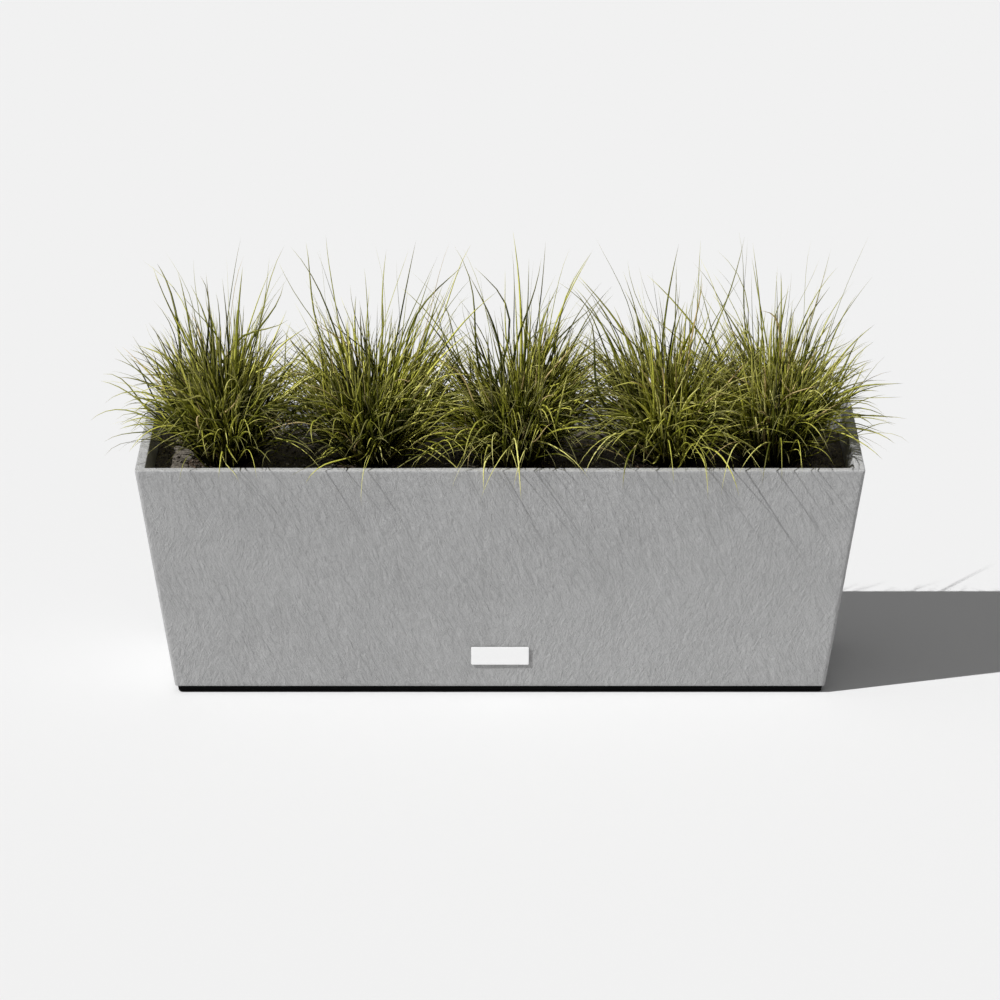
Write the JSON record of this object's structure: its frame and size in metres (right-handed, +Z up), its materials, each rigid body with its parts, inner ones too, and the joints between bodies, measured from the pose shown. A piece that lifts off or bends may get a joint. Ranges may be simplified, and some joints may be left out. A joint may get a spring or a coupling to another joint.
{
  "type": "self watering planter",
  "caption": "Long tapered trough planter with arching grass tussocks over a hidden water reservoir, with a filling tube, float gauge, wicking cups and end drain.",
  "frame": {"origin": "on the ground under the middle of the trough", "axes": "+X along the trough towards its drain end, +Y from the labelled front towards the back, +Z up"},
  "size_m": [0.9192, 0.349, 0.515],
  "materials": {
    "stone_composite": "matte",
    "black_plastic": "satin",
    "rubber": "matte",
    "steel": "satin",
    "label_white": "satin",
    "adhesive_foam": "matte",
    "filter_fleece": "matte",
    "clear_plastic": "gloss",
    "float_foam": "matte",
    "white_plastic": "satin",
    "marker_red": "satin",
    "potting_soil": "matte",
    "roots": "matte",
    "grass": "matte"
  },
  "bodies": {
    "planter": {"outer_shell": "stone_composite", "base_plinth": "black_plastic", "soil_platform": "black_plastic", "platform_leg_1": "black_plastic", "platform_leg_2": "black_plastic", "platform_leg_3": "black_plastic", "platform_leg_4": "black_plastic", "platform_leg_5": "black_plastic", "platform_leg_6": "black_plastic", "wicking_cup_left": "black_plastic", "wicking_cup_centre": "black_plastic", "wicking_cup_right": "black_plastic", "fill_tube": "black_plastic", "fill_collar": "black_plastic", "gauge_tube": "black_plastic", "gauge_bezel": "black_plastic", "drain_bush": "black_plastic", "drain_nut": "black_plastic", "rubber_foot_1": "rubber", "rubber_foot_2": "rubber", "rubber_foot_3": "rubber", "rubber_foot_4": "rubber", "drain_washer": "rubber", "plinth_screw_1": "steel", "plinth_screw_2": "steel", "plinth_screw_3": "steel", "plinth_screw_4": "steel", "fill_cap_pin": "steel", "label_plate": "label_white", "label_adhesive_pad": "adhesive_foam", "filter_fleece": "filter_fleece", "gauge_window": "clear_plastic", "soil_bed": "potting_soil", "soil_wick_left": "potting_soil", "soil_wick_centre": "potting_soil", "soil_wick_right": "potting_soil", "root_ball_1": "roots", "root_ball_2": "roots", "root_ball_3": "roots", "root_ball_4": "roots", "root_ball_5": "roots", "grass_clump_1": "grass", "grass_clump_2": "grass", "grass_clump_3": "grass", "grass_clump_4": "grass", "grass_clump_5": "grass"},
    "level_float": {"gauge_float": "float_foam", "gauge_rod": "white_plastic", "gauge_marker": "marker_red"},
    "fill_cap": {"fill_cap": "black_plastic"},
    "drain_plug": {"drain_plug": "rubber"}
  },
  "joints": [
    {"name": "level_float_rise", "type": "slide", "parent": "planter", "child": "level_float", "axis": [0, 0, 1], "range_m": [0, 0.045]},
    {"name": "fill_cap_hinge", "type": "hinge", "parent": "planter", "child": "fill_cap", "pos_m": [0.285, 0.0937, 0.2625], "axis": [-1, 0, 0], "range_deg": [0, 110]},
    {"name": "drain_plug_pull", "type": "slide", "parent": "planter", "child": "drain_plug", "axis": [0.99, 0, -0.1413], "range_m": [0, 0.03]}
  ]
}
